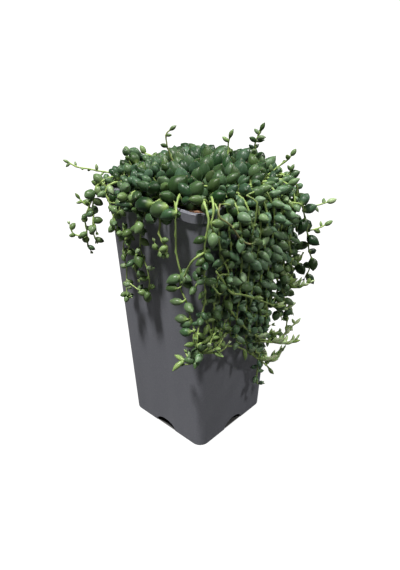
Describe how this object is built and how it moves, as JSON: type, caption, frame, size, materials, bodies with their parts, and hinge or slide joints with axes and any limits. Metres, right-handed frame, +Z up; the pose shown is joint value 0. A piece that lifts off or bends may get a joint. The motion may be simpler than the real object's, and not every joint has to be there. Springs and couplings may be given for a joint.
{
  "type": "potted string of pearls",
  "caption": "Trailing succulent with plump pointed bead-like leaves, growing over the rim of a tall square tapered nursery pot with drainage notches.",
  "frame": {"origin": "centre of the pot's foot, on the surface it stands on", "axes": "+Z up along the pot's axis; X and Y square to the pot's faces; the fullest curtain of strands hangs on the +X face, and the corner between +X and -Y is the front"},
  "size_m": [0.1151, 0.1001, 0.1819],
  "materials": {
    "pot_plastic": "charcoal moulded plastic, satin, with faint upright flow marks",
    "potting_mix": "damp crumbly bark and peat mix, matte",
    "bark": "orange-brown bark chips, rough",
    "leaf": "plump deep green leaf with a waxy gloss, bluish bloom and lime green new growth",
    "stem": "pale lime green stem, browner where old, semi-gloss"
  },
  "bodies": {
    "root": {"bark_chip_1": "bark", "bark_chip_2": "bark", "bark_chip_3": "bark", "crown_shoot_1": "leaf", "crown_shoot_10": "leaf", "crown_shoot_11": "leaf", "crown_shoot_2": "leaf", "crown_shoot_3": "leaf", "crown_shoot_4": "leaf", "crown_shoot_5": "leaf", "crown_shoot_6": "leaf", "crown_shoot_7": "leaf", "crown_shoot_8": "leaf", "crown_shoot_9": "leaf", "pot": "pot_plastic", "potting_mix": "potting_mix", "sprig_1": "leaf", "sprig_2": "leaf", "sprig_3": "leaf", "sprig_4": "leaf", "sprig_5": "leaf", "sprig_6": "leaf", "sprig_7": "leaf", "sprig_8": "leaf", "sprig_9": "leaf", "trail_back_left_1": "leaf", "trail_back_left_2": "leaf", "trail_back_left_3": "leaf", "trail_back_left_4": "leaf", "trail_back_left_5": "leaf", "trail_back_right_1": "leaf", "trail_back_right_2": "leaf", "trail_back_right_3": "leaf", "trail_back_right_4": "leaf", "trail_front_corner_1": "leaf", "trail_front_corner_2": "leaf", "trail_front_corner_3": "leaf", "trail_left_corner_1": "leaf", "trail_left_corner_2": "leaf", "trail_left_corner_3": "leaf", "trail_left_corner_4": "leaf", "trail_left_face_1": "leaf", "trail_left_face_2": "leaf", "trail_left_face_3": "leaf", "trail_left_face_4": "leaf", "trail_right_corner_1": "leaf", "trail_right_corner_2": "leaf", "trail_right_corner_3": "leaf", "trail_right_face_1": "leaf", "trail_right_face_2": "leaf", "trail_right_face_3": "leaf", "trail_right_face_4": "leaf", "trail_right_face_5": "leaf", "trail_right_face_6": "leaf", "trail_right_face_7": "leaf", "trail_right_face_8": "leaf", "trail_right_face_9": "leaf"}
  },
  "joints": []
}
